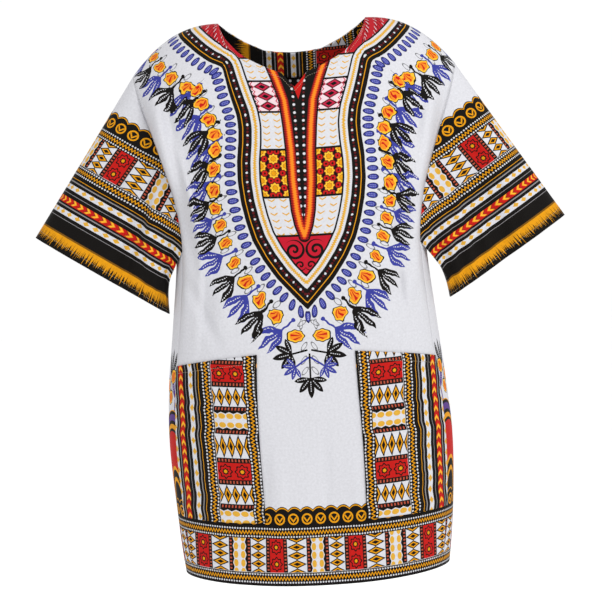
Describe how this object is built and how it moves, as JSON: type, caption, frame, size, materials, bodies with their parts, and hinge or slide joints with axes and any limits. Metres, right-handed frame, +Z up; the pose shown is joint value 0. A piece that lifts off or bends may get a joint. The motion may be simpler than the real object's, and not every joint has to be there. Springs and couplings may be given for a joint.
{
  "type": "dashiki dress",
  "caption": "Loose pullover tunic of printed cotton, filled out as worn, with short wide sleeves, a round neck with a short slit, and patch pockets low on the front",
  "frame": {"origin": "Midway between the two neck points of the shoulder line, where the wearer's shoulders hold the garment", "axes": "+Z up, the front faces -Y, the wearer's left is +X"},
  "size_m": [0.7696, 0.2388, 0.803],
  "materials": {
    "front_print": "printed plain-weave cotton, matt",
    "back_print": "printed plain-weave cotton, matt",
    "sleeve_print": "printed plain-weave cotton, matt",
    "pocket_print": "printed plain-weave cotton, matt",
    "facing_print": "printed plain-weave cotton, matt"
  },
  "bodies": {
    "root": {"front_panel": "front_print", "back_panel": "back_print", "sleeve_left": "sleeve_print", "sleeve_right": "sleeve_print", "pocket_left": "pocket_print", "pocket_right": "pocket_print", "neck_facing": "facing_print"}
  },
  "joints": []
}
